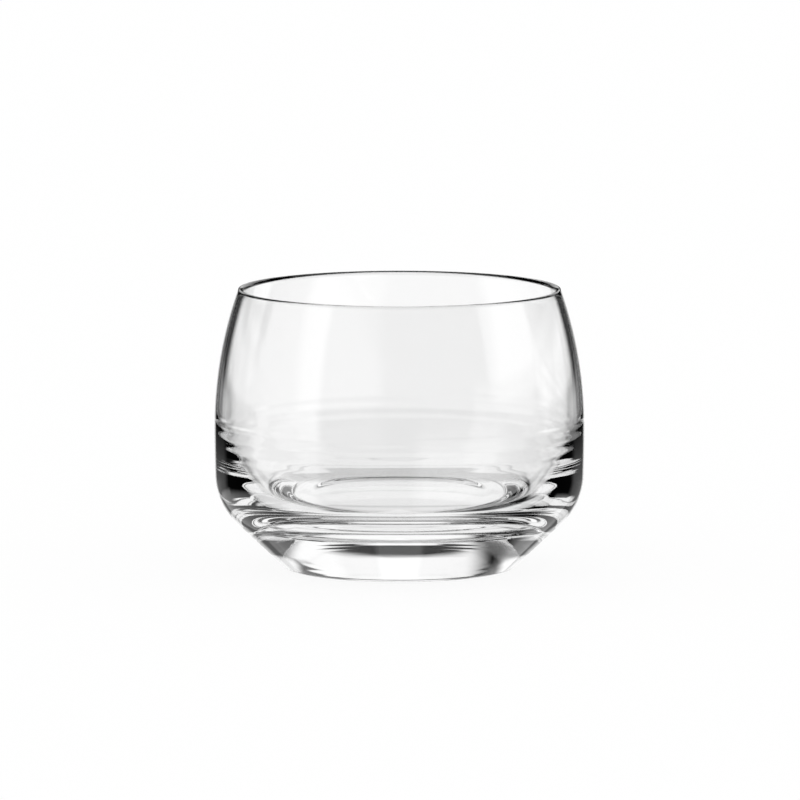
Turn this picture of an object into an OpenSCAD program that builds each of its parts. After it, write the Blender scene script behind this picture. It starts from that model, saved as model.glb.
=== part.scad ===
// Short tumbler: one piece of clear glass with a round bowl on a heavy base.
// It is turned about the Z axis and stands on Z = 0. Sizes are in millimetres.

/* [Outside of the wall] */
// Height, from the surface it stands on to the top of the lip
height = 70; // [62:0.1:84]
// Outside diameter at the belly, its widest place
belly_diameter = 92; // [84:0.5:104]
// Height of the belly above the surface
belly_height = 35.6; // [30:0.1:40]
// Radius of the wall's outside curve, above the belly
shoulder_radius = 102; // [85:1:200]
// Radius of the wall's outside curve, below the belly
flank_radius = 370; // [150:5:800]

/* [Heel and foot] */
// Radius of the heel, where the wall turns in to the cone
heel_radius = 16.7; // [8:0.1:20]
// Slope of the cone, in degrees from upright
cone_angle = 46.7; // [36:0.1:52]
// Diameter at which the cone's slope comes down to the surface
foot_diameter = 56.1; // [48:0.1:64]
// Radius of the foot's rounded edge
foot_edge_radius = 3.5; // [1:0.1:5]
// Width of the flat ring that it stands on
bearing_width = 3; // [1.5:0.1:8]
// Depth of the shallow hollow under the base, at its middle
punt_depth = 1.6; // [0.4:0.1:3]

/* [Lip] */
// Radius of the lip's outer edge
lip_outer_radius = 0.45; // [0.3:0.05:0.8]
// Width of the flat top between the lip's edges
lip_flat = 0.1; // [0.05:0.05:0.6]
// Radius of the lip's inner edge
lip_inner_radius = 0.85; // [0.6:0.05:1.4]

/* [Bowl] */
// Thickness of the wall between the widest places of the bowl and the belly
belly_wall = 2.5; // [1.6:0.02:4]
// Height of the bowl's widest place above the surface
bowl_widest_height = 38.4; // [34:0.1:46]
// Radius of the bowl's side, below its widest place
bowl_side_radius = 44; // [36:0.5:120]
// Radius of the bowl's corner, where its side meets its floor
bowl_corner_radius = 11; // [4:0.1:16]
// Radius of the bowl's floor, which is dished
floor_dish_radius = 1500; // [300:10:3000]
// Height of the middle of the bowl's floor above the surface
floor_height = 15.4; // [9:0.05:20]

/* [Hidden] */

// Number of steps in a full circle
$fn = 360;

function unit(v) = v / norm(v);

// Where two circles meet, on the left of the line from the first centre to the second
function meet(first, first_radius, second, second_radius) =
    let (
        gap = norm(second - first),
        way = unit(second - first),
        along = (pow(first_radius, 2) - pow(second_radius, 2) + pow(gap, 2)) / (2 * gap),
        across = sqrt(pow(first_radius, 2) - pow(along, 2))
    )
    first + along * way + across * [-way.y, way.x];

// Outside points and curve centres are [radius, height] in the plane of the profile
belly = [belly_diameter / 2, belly_height];
shoulder_centre = belly - [shoulder_radius, 0];
flank_centre = belly - [flank_radius, 0];

// The cone's direction going up, and square to it going out
cone_up = [sin(cone_angle), cos(cone_angle)];
cone_out = [cos(cone_angle), -sin(cone_angle)];
foot_radius = foot_diameter / 2;

// The foot's edge touches the surface and the cone
foot_edge_inset = foot_edge_radius * (1 - sin(cone_angle)) / cos(cone_angle);
foot_edge_centre = [foot_radius - foot_edge_inset, foot_edge_radius];
foot_edge_bottom = [foot_edge_centre.x, 0];
foot_edge_top = foot_edge_centre + foot_edge_radius * cone_out;

// The heel touches the cone and the wall's lower curve
heel_start = [foot_radius, 0] - heel_radius * cone_out;
heel_offset = heel_start - flank_centre;
heel_slack = pow(flank_radius - heel_radius, 2) - heel_offset * heel_offset;
heel_rise = sqrt(pow(heel_offset * cone_up, 2) + heel_slack) - heel_offset * cone_up;
heel_centre = heel_start + heel_rise * cone_up;
heel_bottom = heel_centre + heel_radius * cone_out;
heel_top = flank_centre + flank_radius * unit(heel_centre - flank_centre);

// The lip's outer edge touches the wall's upper curve and reaches the full height
lip_outer_height = height - lip_outer_radius;
lip_outer_reach = sqrt(pow(shoulder_radius - lip_outer_radius, 2) - pow(lip_outer_height - belly_height, 2));
lip_outer_centre = [shoulder_centre.x + lip_outer_reach, lip_outer_height];
lip_outside = shoulder_centre + shoulder_radius * unit(lip_outer_centre - shoulder_centre);
lip_outer_top = [lip_outer_centre.x, height];

// The lip's inner edge reaches the full height too, and touches the bowl's upper curve
lip_inner_centre = [lip_outer_centre.x - lip_flat, height - lip_inner_radius];
lip_inner_top = [lip_inner_centre.x, height];
bowl_widest = [belly.x - belly_wall, bowl_widest_height];
lip_offset = lip_inner_centre - bowl_widest;
bowl_upper_radius = (lip_offset * lip_offset - pow(lip_inner_radius, 2)) / (2 * (lip_inner_radius - lip_offset.x));
bowl_upper_centre = bowl_widest - [bowl_upper_radius, 0];
lip_inside = bowl_upper_centre + bowl_upper_radius * unit(lip_inner_centre - bowl_upper_centre);

// The bowl's corner touches its side's curve and its floor's
bowl_side_centre = bowl_widest - [bowl_side_radius, 0];
floor_middle = [0, floor_height];
dish_centre = floor_middle + [0, floor_dish_radius];
corner_to_side = bowl_side_radius - bowl_corner_radius;
corner_to_dish = floor_dish_radius - bowl_corner_radius;
corner_centre = meet(dish_centre, corner_to_dish, bowl_side_centre, corner_to_side);
corner_bottom = dish_centre + floor_dish_radius * unit(corner_centre - dish_centre);
corner_top = bowl_side_centre + bowl_side_radius * unit(corner_centre - bowl_side_centre);

// The hollow under the base is a shallow dome inside the bearing ring
punt_edge = foot_edge_bottom.x - bearing_width;
punt_radius = (pow(punt_edge, 2) + pow(punt_depth, 2)) / (2 * punt_depth);

// The slice of a disc on the right of the line from one point on its edge to another
module slice(centre, radius, start, end) {
    along = unit(end - start);
    out = [along.y, -along.x];
    reach = 2 * radius;
    intersection() {
        translate(centre) circle(radius);
        polygon([start, end, end + reach * (out + along), start + reach * (out - along)]);
    }
}

// The curves that swell outwards from the straight-sided section
module outside_curves() {
    slice(foot_edge_centre, foot_edge_radius, foot_edge_bottom, foot_edge_top);
    slice(heel_centre, heel_radius, heel_bottom, heel_top);
    slice(flank_centre, flank_radius, heel_top, belly);
    slice(shoulder_centre, shoulder_radius, belly, lip_outside);
    slice(lip_outer_centre, lip_outer_radius, lip_outside, lip_outer_top);
    slice(lip_inner_centre, lip_inner_radius, lip_inner_top, lip_inside);
}

// The curves that the bowl cuts into the straight-sided section
module bowl_curves() {
    slice(dish_centre, floor_dish_radius, floor_middle, corner_bottom);
    slice(corner_centre, bowl_corner_radius, corner_bottom, corner_top);
    slice(bowl_side_centre, bowl_side_radius, corner_top, bowl_widest);
    slice(bowl_upper_centre, bowl_upper_radius, bowl_widest, lip_inside);
}

// Half of the glass, cut down the middle
module section() {
    difference() {
        union() {
            polygon([
                [0, 0], foot_edge_bottom, foot_edge_top, heel_bottom, heel_top, belly, lip_outside,
                lip_outer_top, lip_inner_top, lip_inside, bowl_widest, corner_top, corner_bottom, floor_middle
            ]);
            outside_curves();
        }
        bowl_curves();
        translate([0, punt_depth - punt_radius]) circle(punt_radius);
    }
}

module tumbler() {
    color([0.92, 0.95, 0.95, 0.35]) rotate_extrude() section();
}

tumbler();
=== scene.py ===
"""Short clear glass tumbler on a white floor, in a white studio with dark gaps between its lights."""
from math import atan2, cos, pi, radians, sin, sqrt

import bpy
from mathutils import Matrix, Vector


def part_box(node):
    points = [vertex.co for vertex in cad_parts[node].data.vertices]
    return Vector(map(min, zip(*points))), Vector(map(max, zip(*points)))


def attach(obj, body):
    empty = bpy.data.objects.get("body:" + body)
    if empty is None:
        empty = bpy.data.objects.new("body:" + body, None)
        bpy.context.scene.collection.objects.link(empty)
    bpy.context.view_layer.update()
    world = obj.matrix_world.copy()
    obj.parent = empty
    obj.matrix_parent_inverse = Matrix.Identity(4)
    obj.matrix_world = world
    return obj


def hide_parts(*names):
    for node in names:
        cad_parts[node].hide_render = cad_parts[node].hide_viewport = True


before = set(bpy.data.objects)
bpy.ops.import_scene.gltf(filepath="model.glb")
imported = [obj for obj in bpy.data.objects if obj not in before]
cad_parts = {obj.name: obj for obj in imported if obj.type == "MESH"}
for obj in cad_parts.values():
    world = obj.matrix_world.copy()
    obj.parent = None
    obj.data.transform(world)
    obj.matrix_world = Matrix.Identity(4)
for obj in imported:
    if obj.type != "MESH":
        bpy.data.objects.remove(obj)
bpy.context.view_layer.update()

MM = 0.001

# Outside of the glass, in metres. The height and the belly's diameter are the frame's own.
low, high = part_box("tumbler")
height = high.z
belly_radius = (high.x - low.x) / 2
belly_height = 35.6 * MM
shoulder_radius = 102 * MM
flank_radius = 370 * MM
heel_radius = 16.7 * MM
cone_angle = radians(46.7)
foot_radius = 28.05 * MM
foot_edge_radius = 3.5 * MM
bearing_width = 3 * MM
punt_depth = 1.6 * MM

# Lip
lip_outer_radius = 0.45 * MM
lip_flat = 0.1 * MM
lip_inner_radius = 0.85 * MM

# Bowl
belly_wall = 2.5 * MM
bowl_widest_height = 38.4 * MM
bowl_side_radius = 44 * MM
bowl_corner_radius = 11 * MM
floor_dish_radius = 1500 * MM
floor_height = 15.4 * MM

# Faint rings in the bowl's floor: the radii at which they fade out, and how far apart and deep they are
rings_inside = 14.4 * MM
rings_outside = 25 * MM
ring_pitch = 3.5 * MM
ring_depth = 0.004 * MM

# Ripples round the bowl's side, up to its widest place: the heights towards which they fade out,
# and how far apart and deep they are
ripple_bottom = 27 * MM
ripple_top = 42 * MM
ripple_pitch = 3 * MM
ripple_depth = 0.025 * MM

# Uneven places in the bowl's side, where the glass set last: how long and tall the waves are,
# how far they swell, and between which heights they lie and how softly they fade there
wave_length = 14 * MM
wave_height = 2.5 * MM
wave_depth = 0.06 * MM
wave_bottom = 28 * MM
wave_top = 43 * MM
wave_fade = 8 * MM

# Steps of the spin about the axis, and how close its points lie where they are one
turn_steps = 320
merge_distance = 0.001 * MM

# Glass: its refractive index, and a trace of haze in places: how fine and detailed its noise is, between
# which values of the noise it grows, how much it roughens the glass, and the tint without it and with it
glass_ior = 1.52
haze_scale = 60
haze_detail = 3
haze_start = 0.5
haze_full = 0.8
haze_roughness = 0.008
clear_tint = (1, 1, 1, 1)
haze_tint = (0.992, 0.993, 0.993, 1)

# Draw lines on the glass: how fine, detailed and stretched they are, and how strong and deep their bump is
line_scale = 150
line_detail = 1
line_stretch = 0.12
line_strength = 0.25
line_depth = 0.02 * MM

# Camera: the picture's side and scale in pixels, the sensor's width in millimetres, how far away and how
# high it is, and where it looks
image_side = 800
pixels_per_metre = 4023.7
sensor_width = 36
camera_distance = 4.0
camera_elevation = radians(6.83)
aim = Vector((0.14 * MM, 0, 42.09 * MM))

# White floor: its side, how far it lies under the glass, and how much light it returns and gives off
stage_side = 12
stage_drop = 0.1 * MM
stage_shade = (0.08, 0.08, 0.08, 1)
stage_glow = 0.92

# Panels as the glass sees them, in degrees: the left and right edge, to the right from straight back, and
# their softness, the bottom above the horizon and its softness, the top and its softness, and the strength
LIGHTS = (
    # White backdrop
    (-24, 38, 6, 6.5, 0.7, 33, 2.5, 1.05),
    # Ceiling
    (-200, 200, 2, 47, 2, 95, 2, 0.8),
    # Tall windows on the left and on the right
    (-128, -76, 3, -16, 5, 38, 3, 0.95),
    (78, 120, 3, 3, 2, 45, 3, 1.0),
    # Low strips beside the backdrop
    (-78, -34, 3, -6, 1, 6, 2, 1.05),
    (34, 78, 3, -6, 1, 6, 2, 1.05),
    # White table behind the glass, from far to near, and under it
    (-11, 11, 7, -17, 7, -1.5, 1, 1.03),
    (-14, 14, 4, -34, 3, -1.5, 1, 0.95),
    (-30, 30, 4, -95, 2, -32, 4, 0.9),
    # The table's back on the left, and twice on the right
    (-44, -20, 3, -34, 3, -12, 2, 0.85),
    (34, 60, 3, -42, 3, -16, 2, 1.0),
    (14, 40, 4, -40, 3, -25, 2, 1.0),
    # The table's left side, and its front on the right
    (-112, -20, 6, -62, 4, -14, 3, 0.85),
    (108, 168, 6, -62, 4, -6, 3, 0.85),
    # The table's back, in shade
    (-40, 40, 5, -32, 3, -7.5, 1, 0.3),
)

# Strength between the panels, and of the plain white that the camera and the floor see
DARK = 0.01
PLAIN = 1.0

# Enough bounces for light to cross the glass and be mirrored inside it
light_bounces = 9


def deselect_all():
    """Leaves nothing selected, so that an operator acts on the new piece alone."""
    if bpy.context.object and bpy.context.object.mode != "OBJECT":
        bpy.ops.object.mode_set(mode="OBJECT")
    bpy.ops.object.select_all(action="DESELECT")


def profile_point(radius, z):
    """A point of the profile, which is drawn in the plane Y = 0."""
    return Vector((radius, 0, z))


def meet(first, first_radius, second, second_radius):
    """Where two circles of the profile meet, on the left of the line from the first centre to the second."""
    gap = (second - first).length
    way = (second - first).normalized()
    along = (first_radius ** 2 - second_radius ** 2 + gap ** 2) / (2 * gap)
    across = sqrt(first_radius ** 2 - along ** 2)
    return first + along * way + across * profile_point(-way.z, way.x)


def touch(centre, radius, inner_centre):
    """Where a circle of the profile touches one that lies inside it."""
    return centre + radius * (inner_centre - centre).normalized()


def start_outline(point):
    """Adds a piece that is one selected point, in edit mode."""
    deselect_all()
    bpy.ops.mesh.primitive_plane_add(size=MM, location=(0, 0, 0))
    bpy.ops.object.mode_set(mode="EDIT")
    bpy.ops.mesh.select_all(action="SELECT")
    bpy.ops.mesh.merge(type="CENTER")
    bpy.ops.transform.translate(value=point)
    return bpy.context.object


def draw_line(start, end, steps=1):
    """Extrudes the outline's last point along a straight line."""
    for _ in range(steps):
        bpy.ops.mesh.extrude_region_move(TRANSFORM_OT_translate={"value": (end - start) / steps})


def draw_arc(centre, start, end, steps):
    """Spins the outline's last point round a centre, from start to end, the short way."""
    a = start - centre
    b = end - centre
    angle = atan2(a.x * b.z - a.z * b.x, a.x * b.x + a.z * b.z)
    bpy.ops.mesh.spin(steps=steps, angle=angle, center=centre, axis=(0, 1, 0), dupli=False)


def swell(place, start, end, pitch, depth):
    """How far a row of waves from start to end lifts the glass at a place. It fades towards both ends."""
    if not start < place < end:
        return 0
    fade = sin(pi * (place - start) / (end - start))
    return depth * fade * sin(2 * pi * (place - start) / pitch)


def draw_side(centre, start, end, steps):
    """Draws the bowl's rippled side, from its widest place down to its corner."""
    turn = atan2(end.z - centre.z, end.x - centre.x)
    last = start
    for step in range(1, steps + 1):
        way = profile_point(cos(turn * step / steps), sin(turn * step / steps))
        z = centre.z + bowl_side_radius * way.z
        ripple = swell(z, ripple_bottom, ripple_top, ripple_pitch, ripple_depth)
        point = centre + (bowl_side_radius + ripple) * way
        draw_line(last, point)
        last = point


def draw_floor(corner_bottom, steps):
    """Draws the bowl's dished and ringed floor, from its edge to its middle."""
    last = corner_bottom
    for step in range(1, steps + 1):
        radius = corner_bottom.x * (1 - step / steps)
        dish = floor_dish_radius - sqrt(floor_dish_radius ** 2 - radius ** 2)
        ring = swell(radius, rings_inside, rings_outside, ring_pitch, ring_depth)
        point = profile_point(radius, floor_height + dish + ring)
        draw_line(last, point)
        last = point


def glass_outline():
    """Draws half of the glass's section: the hollow underneath, the outside, the lip and the bowl."""
    # The wall's outside curves meet at the belly, and a cone leads from them to the foot
    belly = profile_point(belly_radius, belly_height)
    shoulder_centre = belly - profile_point(shoulder_radius, 0)
    flank_centre = belly - profile_point(flank_radius, 0)
    cone_up = profile_point(sin(cone_angle), cos(cone_angle))
    cone_out = profile_point(cos(cone_angle), -sin(cone_angle))

    # The foot's edge touches the surface and the cone
    foot_edge_inset = foot_edge_radius * (1 - sin(cone_angle)) / cos(cone_angle)
    foot_edge_centre = profile_point(foot_radius - foot_edge_inset, foot_edge_radius)
    foot_edge_bottom = profile_point(foot_edge_centre.x, 0)
    foot_edge_top = foot_edge_centre + foot_edge_radius * cone_out

    # The heel touches the cone and the wall's lower curve
    heel_start = profile_point(foot_radius, 0) - heel_radius * cone_out
    heel_offset = heel_start - flank_centre
    along = heel_offset.dot(cone_up)
    heel_rise = sqrt(along ** 2 + (flank_radius - heel_radius) ** 2 - heel_offset.length_squared) - along
    heel_centre = heel_start + heel_rise * cone_up
    heel_bottom = heel_centre + heel_radius * cone_out
    heel_top = touch(flank_centre, flank_radius, heel_centre)

    # The lip's outer edge touches the wall's upper curve and reaches the full height
    lip_outer_height = height - lip_outer_radius
    lip_outer_reach = sqrt((shoulder_radius - lip_outer_radius) ** 2 - (lip_outer_height - belly_height) ** 2)
    lip_outer_centre = profile_point(shoulder_centre.x + lip_outer_reach, lip_outer_height)
    lip_outside = touch(shoulder_centre, shoulder_radius, lip_outer_centre)
    lip_outer_top = profile_point(lip_outer_centre.x, height)

    # The lip's inner edge reaches the full height too, and touches the bowl's upper curve
    lip_inner_centre = profile_point(lip_outer_centre.x - lip_flat, height - lip_inner_radius)
    lip_inner_top = profile_point(lip_inner_centre.x, height)
    bowl_widest = profile_point(belly_radius - belly_wall, bowl_widest_height)
    lip_offset = lip_inner_centre - bowl_widest
    lip_reach = lip_offset.length_squared - lip_inner_radius ** 2
    bowl_upper_radius = lip_reach / (2 * (lip_inner_radius - lip_offset.x))
    bowl_upper_centre = bowl_widest - profile_point(bowl_upper_radius, 0)
    lip_inside = touch(bowl_upper_centre, bowl_upper_radius, lip_inner_centre)

    # The bowl's corner touches its side's curve and its floor's
    bowl_side_centre = bowl_widest - profile_point(bowl_side_radius, 0)
    dish_centre = profile_point(0, floor_height + floor_dish_radius)
    corner_to_side = bowl_side_radius - bowl_corner_radius
    corner_to_dish = floor_dish_radius - bowl_corner_radius
    corner_centre = meet(dish_centre, corner_to_dish, bowl_side_centre, corner_to_side)
    corner_bottom = touch(dish_centre, floor_dish_radius, corner_centre)
    corner_top = touch(bowl_side_centre, bowl_side_radius, corner_centre)

    # The hollow under the base is a shallow dome inside the bearing ring
    punt_edge = profile_point(foot_edge_bottom.x - bearing_width, 0)
    punt_top = profile_point(0, punt_depth)
    punt_radius = (punt_edge.x ** 2 + punt_depth ** 2) / (2 * punt_depth)
    punt_centre = punt_top - profile_point(0, punt_radius)

    # The outline, from the middle of the hollow round to the middle of the bowl's floor
    glass = start_outline(punt_top)
    draw_arc(punt_centre, punt_top, punt_edge, steps=16)
    draw_line(punt_edge, foot_edge_bottom, steps=3)
    draw_arc(foot_edge_centre, foot_edge_bottom, foot_edge_top, steps=12)
    draw_line(foot_edge_top, heel_bottom, steps=14)
    draw_arc(heel_centre, heel_bottom, heel_top, steps=34)
    draw_arc(flank_centre, heel_top, belly, steps=10)
    draw_arc(shoulder_centre, belly, lip_outside, steps=26)
    draw_arc(lip_outer_centre, lip_outside, lip_outer_top, steps=10)
    draw_line(lip_outer_top, lip_inner_top)
    draw_arc(lip_inner_centre, lip_inner_top, lip_inside, steps=16)
    draw_arc(bowl_upper_centre, lip_inside, bowl_widest, steps=24)
    draw_side(bowl_side_centre, bowl_widest, corner_top, steps=52)
    draw_arc(corner_centre, corner_top, corner_bottom, steps=24)
    draw_floor(corner_bottom, steps=48)
    return glass


def wave_share(vertex):
    """How much of the waves' depth a point of the glass gets: only the bowl's side has any."""
    if vertex.normal.xy.dot(vertex.co.xy) >= 0:
        return 0
    below_top = (wave_top - vertex.co.z) / wave_fade
    above_bottom = (vertex.co.z - wave_bottom) / wave_fade
    return max(0, min(1, below_top, above_bottom))


def uneven_places(glass):
    """Swells the bowl's side in and out a little, in long low waves."""
    group = glass.vertex_groups.new(name="uneven")
    for vertex in glass.data.vertices:
        group.add([vertex.index], wave_share(vertex), "REPLACE")
    bpy.ops.object.empty_add(location=(0, 0, 0))
    squash = bpy.context.object
    squash.scale = (1, 1, wave_height / wave_length)
    texture = bpy.data.textures.new("uneven", "CLOUDS")
    texture.noise_scale = wave_length
    texture.noise_depth = 0
    waves = glass.modifiers.new("uneven", "DISPLACE")
    waves.texture = texture
    waves.texture_coords = "OBJECT"
    waves.texture_coords_object = squash
    waves.vertex_group = group.name
    waves.strength = wave_depth
    bpy.context.view_layer.update()
    bpy.context.view_layer.objects.active = glass
    bpy.ops.object.modifier_apply(modifier=waves.name)
    bpy.data.objects.remove(squash)
    glass.select_set(True)


def glass_body():
    """Turns the outline once about the upright axis, closes the turned shape and makes it a little uneven."""
    glass = glass_outline()
    bpy.ops.mesh.select_all(action="SELECT")
    bpy.ops.mesh.spin(steps=turn_steps, angle=2 * pi, center=(0, 0, 0), axis=(0, 0, 1), dupli=False)
    bpy.ops.mesh.select_all(action="SELECT")
    bpy.ops.mesh.remove_doubles(threshold=merge_distance)
    bpy.ops.mesh.normals_make_consistent(inside=False)
    bpy.ops.object.mode_set(mode="OBJECT")
    uneven_places(glass)
    bpy.ops.object.shade_smooth()
    glass.name = "tumbler_glass"
    glass.data.name = "tumbler_glass"
    return glass


def new_material(name):
    """A new material, with its node tree and its shader."""
    material = bpy.data.materials.new(name)
    material.use_nodes = True
    return material, material.node_tree, material.node_tree.nodes["Principled BSDF"]


def noise(tree, place, scale, detail):
    """Noise between 0 and 1 at each place. Returns its output."""
    node = tree.nodes.new("ShaderNodeTexNoise")
    node.inputs["Scale"].default_value = scale
    node.inputs["Detail"].default_value = detail
    tree.links.new(place, node.inputs["Vector"])
    return node.outputs["Fac"]


def clear_glass():
    """Clear, colourless glass: polished, with a trace of haze and of draw lines from its making."""
    material, tree, shader = new_material("clear_glass")
    shader.inputs["IOR"].default_value = glass_ior
    shader.inputs["Transmission Weight"].default_value = 1.0
    place = tree.nodes.new("ShaderNodeTexCoord").outputs["Object"]

    haze = noise(tree, place, haze_scale, haze_detail)
    roughness = tree.nodes.new("ShaderNodeMapRange")
    roughness.inputs["From Min"].default_value = haze_start
    roughness.inputs["From Max"].default_value = haze_full
    roughness.inputs["To Max"].default_value = haze_roughness
    tree.links.new(haze, roughness.inputs["Value"])
    tree.links.new(roughness.outputs["Result"], shader.inputs["Roughness"])
    tint = tree.nodes.new("ShaderNodeMix")
    tint.data_type = "RGBA"
    tint.inputs["A"].default_value = clear_tint
    tint.inputs["B"].default_value = haze_tint
    tree.links.new(haze, tint.inputs["Factor"])
    tree.links.new(tint.outputs["Result"], shader.inputs["Base Color"])

    stretch = tree.nodes.new("ShaderNodeMapping")
    stretch.inputs["Scale"].default_value = (1, 1, line_stretch)
    tree.links.new(place, stretch.inputs["Vector"])
    lines = noise(tree, stretch.outputs["Vector"], line_scale, line_detail)
    bump = tree.nodes.new("ShaderNodeBump")
    bump.inputs["Strength"].default_value = line_strength
    bump.inputs["Distance"].default_value = line_depth
    tree.links.new(lines, bump.inputs["Height"])
    tree.links.new(bump.outputs["Normal"], shader.inputs["Normal"])
    return material


def add_camera():
    """Looks at the glass from the front and a little above, from so far that the view is nearly parallel."""
    camera = bpy.data.objects.new("camera", bpy.data.cameras.new("camera"))
    bpy.context.scene.collection.objects.link(camera)
    back = Vector((0, -cos(camera_elevation), sin(camera_elevation)))
    camera.location = aim + camera_distance * back
    camera.rotation_euler = (-back).to_track_quat("-Z", "Y").to_euler()
    camera.data.sensor_width = sensor_width
    camera.data.lens = sensor_width * pixels_per_metre * camera_distance / image_side
    bpy.context.scene.camera = camera


def math_node(tree, operation, a, b=0.0):
    """A Math node; a and b are numbers or sockets. Returns its output."""
    node = tree.nodes.new("ShaderNodeMath")
    node.operation = operation
    for socket, value in zip(node.inputs, (a, b)):
        if isinstance(value, (int, float)):
            socket.default_value = value
        else:
            tree.links.new(value, socket)
    return node.outputs[0]


def ramp(tree, value, start, end):
    """Goes smoothly from 0 at start to 1 at end. Returns its output."""
    node = tree.nodes.new("ShaderNodeMapRange")
    node.interpolation_type = "SMOOTHSTEP"
    tree.links.new(value, node.inputs["Value"])
    if start < end:
        limits = (start, end, 0, 1)
    else:
        limits = (end, start, 1, 0)
    for name, number in zip(("From Min", "From Max", "To Min", "To Max"), limits):
        node.inputs[name].default_value = number
    return node.outputs["Result"]


def panel(tree, azimuth, elevation, left, right, side_soft, bottom, bottom_soft, top, top_soft, strength):
    """How strong a soft-edged panel is in each direction. Returns its output."""
    edges = (
        ramp(tree, azimuth, radians(left - side_soft), radians(left + side_soft)),
        ramp(tree, azimuth, radians(right + side_soft), radians(right - side_soft)),
        ramp(tree, elevation, radians(bottom - bottom_soft), radians(bottom + bottom_soft)),
        ramp(tree, elevation, radians(top + top_soft), radians(top - top_soft)),
    )
    light = strength
    for edge in edges:
        light = math_node(tree, "MULTIPLY", edge, light)
    return light


def studio_world():
    """A plain white world, in which the glass sees the studio's lights and the dark gaps between them."""
    world = bpy.data.worlds.new("studio")
    bpy.context.scene.world = world
    world.use_nodes = True
    tree = world.node_tree
    background = tree.nodes["Background"]
    background.inputs["Color"].default_value = (1, 1, 1, 1)
    coordinates = tree.nodes.new("ShaderNodeTexCoord")
    direction = tree.nodes.new("ShaderNodeSeparateXYZ")
    tree.links.new(coordinates.outputs["Generated"], direction.inputs["Vector"])
    x, y, z = direction.outputs
    azimuth = math_node(tree, "ARCTAN2", x, y)
    elevation = math_node(tree, "ARCSINE", z)
    studio = DARK
    for numbers in LIGHTS:
        studio = math_node(tree, "MAXIMUM", studio, panel(tree, azimuth, elevation, *numbers))
    rays = tree.nodes.new("ShaderNodeLightPath")
    plain = math_node(tree, "ADD", rays.outputs["Is Camera Ray"], rays.outputs["Is Diffuse Ray"])
    mix = tree.nodes.new("ShaderNodeMix")
    tree.links.new(plain, mix.inputs["Factor"])
    tree.links.new(studio, mix.inputs["A"])
    mix.inputs["B"].default_value = PLAIN
    tree.links.new(mix.outputs["Result"], background.inputs["Strength"])


def stage_floor():
    """A white floor with a faint shadow, for the camera alone: the glass looks through it to the studio."""
    deselect_all()
    bpy.ops.mesh.primitive_plane_add(size=stage_side, location=(0, 0, -stage_drop))
    plane = bpy.context.object
    plane.name = "floor"
    material, tree, shader = new_material("floor")
    shader.inputs["Base Color"].default_value = stage_shade
    shader.inputs["Roughness"].default_value = 1
    shader.inputs["Specular IOR Level"].default_value = 0
    shader.inputs["Emission Color"].default_value = (1, 1, 1, 1)
    shader.inputs["Emission Strength"].default_value = stage_glow
    clear = tree.nodes.new("ShaderNodeBsdfTransparent")
    rays = tree.nodes.new("ShaderNodeLightPath")
    mix = tree.nodes.new("ShaderNodeMixShader")
    tree.links.new(rays.outputs["Is Camera Ray"], mix.inputs[0])
    tree.links.new(clear.outputs[0], mix.inputs[1])
    tree.links.new(shader.outputs[0], mix.inputs[2])
    tree.links.new(mix.outputs[0], tree.nodes["Material Output"].inputs["Surface"])
    plane.data.materials.append(material)


glass = glass_body()
glass.data.materials.append(clear_glass())
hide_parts("tumbler")
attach(glass, "root")

add_camera()
studio_world()
stage_floor()

bpy.context.scene.view_settings.view_transform = "Standard"
bpy.context.scene.cycles.max_bounces = light_bounces
bpy.context.scene.cycles.transmission_bounces = light_bounces
bpy.context.scene.cycles.glossy_bounces = light_bounces
